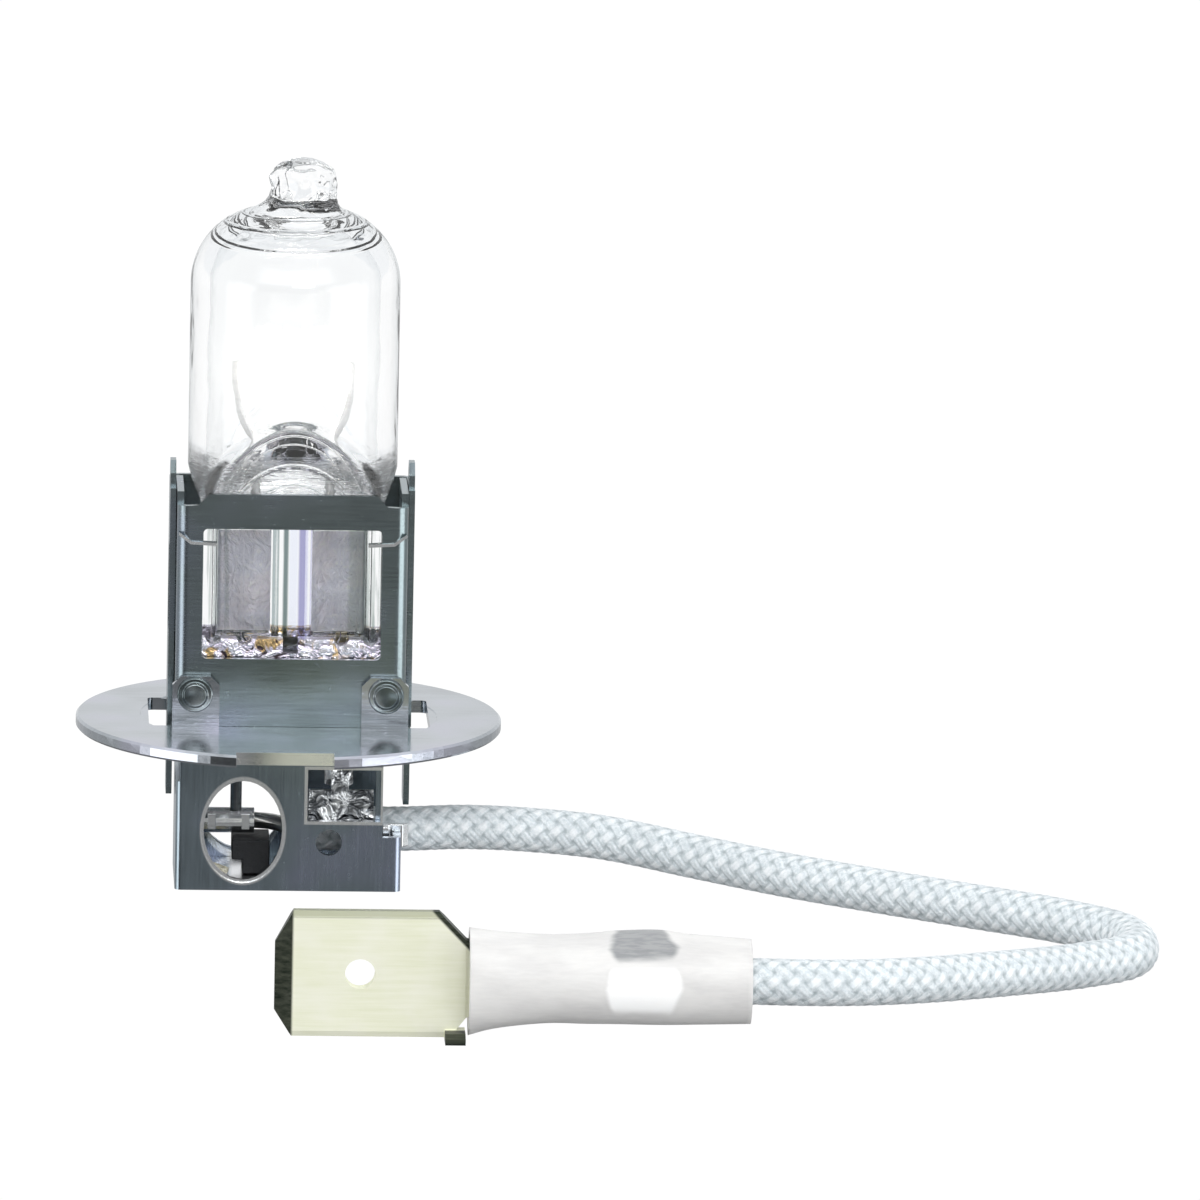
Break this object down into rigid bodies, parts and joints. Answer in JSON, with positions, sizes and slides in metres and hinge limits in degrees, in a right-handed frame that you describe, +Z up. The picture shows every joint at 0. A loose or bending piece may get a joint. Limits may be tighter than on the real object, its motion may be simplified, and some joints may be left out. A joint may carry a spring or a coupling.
{
  "type": "headlight bulb",
  "caption": "Halogen headlight bulb: quartz capsule in a stamped holder on a disc flange and box base, with a braided side cord ending in a sleeved blade terminal.",
  "frame": {"origin": "on the lamp axis at the underside of the base", "axes": "+Z up along the lamp axis, -Y the front with the oval eye in the base, +X the side the cord leaves from"},
  "size_m": [0.0547, 0.0503, 0.0378],
  "materials": {
    "quartz": "clear fused quartz, smooth",
    "foil": "wrinkled thin metal foil sealed in quartz",
    "lead_wire": "dull drawn wire",
    "gilt_lead": "heat-tinted wire",
    "filament": "glowing coiled wire",
    "holder_steel": "dark satin stamped steel",
    "tinted_steel": "bright steel with straw and violet heat tint",
    "flange_steel": "bright satin disc with a soft lilac cast",
    "base_steel": "dark satin folded steel",
    "bright_metal": "bright pressed metal",
    "black_pad": "matte black insulating block",
    "cream_fibre": "frayed glass-fibre strands",
    "stranded_core": "stranded conductor",
    "glass_braid": "silver-white braided glass-fibre cover",
    "tinned_brass": "pale satin plated brass",
    "milky_sleeve": "milky translucent soft plastic tube"
  },
  "bodies": {
    "root": {"quartz_envelope": "quartz", "foil_left": "foil", "foil_right": "foil", "inner_lead_left": "lead_wire", "inner_lead_right": "lead_wire", "filament_coil": "filament", "outer_lead_left": "lead_wire", "outer_lead_right": "gilt_lead", "front_holder": "holder_steel", "rear_holder": "holder_steel", "pinch_bracket": "tinted_steel", "flange": "flange_steel", "weld_nub_left": "holder_steel", "weld_nub_right": "holder_steel", "base_shell": "base_steel", "base_back_plate": "base_steel", "splice_ferrule": "bright_metal", "ground_strap": "bright_metal", "insulator_pad": "black_pad", "braid_tail": "cream_fibre", "cord_clamp": "bright_metal", "core_end_base": "stranded_core", "lead_cord": "glass_braid", "core_end_terminal": "stranded_core", "spade_terminal": "tinned_brass", "terminal_sleeve": "milky_sleeve"}
  },
  "joints": []
}
